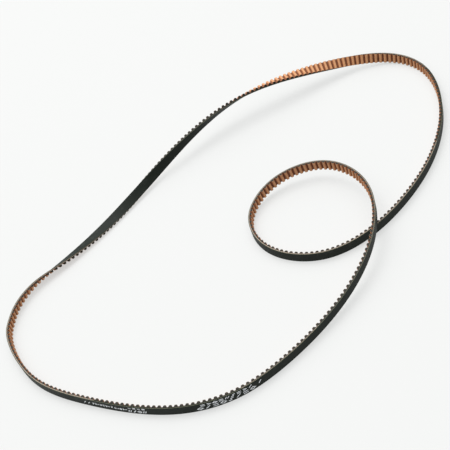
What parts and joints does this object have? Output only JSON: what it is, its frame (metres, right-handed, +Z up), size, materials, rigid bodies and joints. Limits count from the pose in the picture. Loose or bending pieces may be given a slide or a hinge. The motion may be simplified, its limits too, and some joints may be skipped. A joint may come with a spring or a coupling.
{
  "type": "timing belt",
  "caption": "Endless rubber timing belt with small round teeth on its inner side, lying loose on its edge in one large and one small loop",
  "frame": {"origin": "On the surface that the belt stands on, at the middle of its overall length and depth", "axes": "+Z up out of the surface, +X along the longer way of the large loop, +Y from the front stretch to the raised stretch at the back"},
  "size_m": [0.194, 0.141, 0.0125],
  "materials": {
    "backing_rubber": "matte, ground chloroprene rubber",
    "tension_cord": "treated glass fibre cord",
    "tooth_rubber": "matte moulded chloroprene rubber",
    "tooth_facing": "matte nylon fabric, reddish brown",
    "print_ink": "thin matte white ink"
  },
  "bodies": {
    "root": {"backing_rubber": "backing_rubber", "tension_cord_layer": "tension_cord", "tooth_rubber": "tooth_rubber", "tooth_facing": "tooth_facing"}
  },
  "joints": []
}
